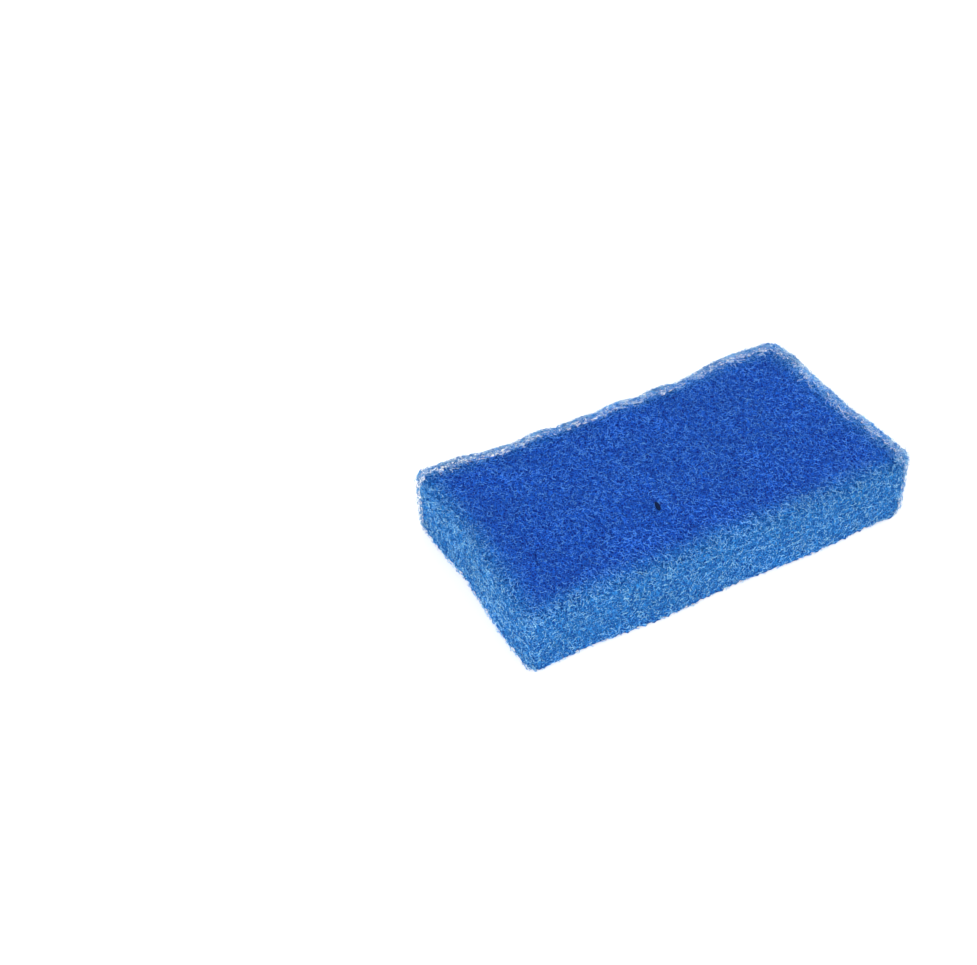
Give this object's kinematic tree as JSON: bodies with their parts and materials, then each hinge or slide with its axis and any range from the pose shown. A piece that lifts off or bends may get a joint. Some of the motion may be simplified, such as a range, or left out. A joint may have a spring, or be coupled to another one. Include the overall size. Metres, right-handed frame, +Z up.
{
  "type": "nylon scouring pad",
  "caption": "Soft rectangular scouring pad cut from a thick lofty web of crimped blue nylon fibres, with rough faces and wavy cut edges.",
  "frame": {"origin": "centre of the underside, on the surface that the pad lies on", "axes": "+X along the pad's length, +Y across it towards the scalloped long edge, +Z up through its thickness"},
  "size_m": [0.1566, 0.088, 0.0275],
  "materials": {
    "nylon_web": "matt open web of bonded crimped nylon fibres"
  },
  "bodies": {
    "root": {"scouring_pad": "nylon_web"}
  },
  "joints": []
}
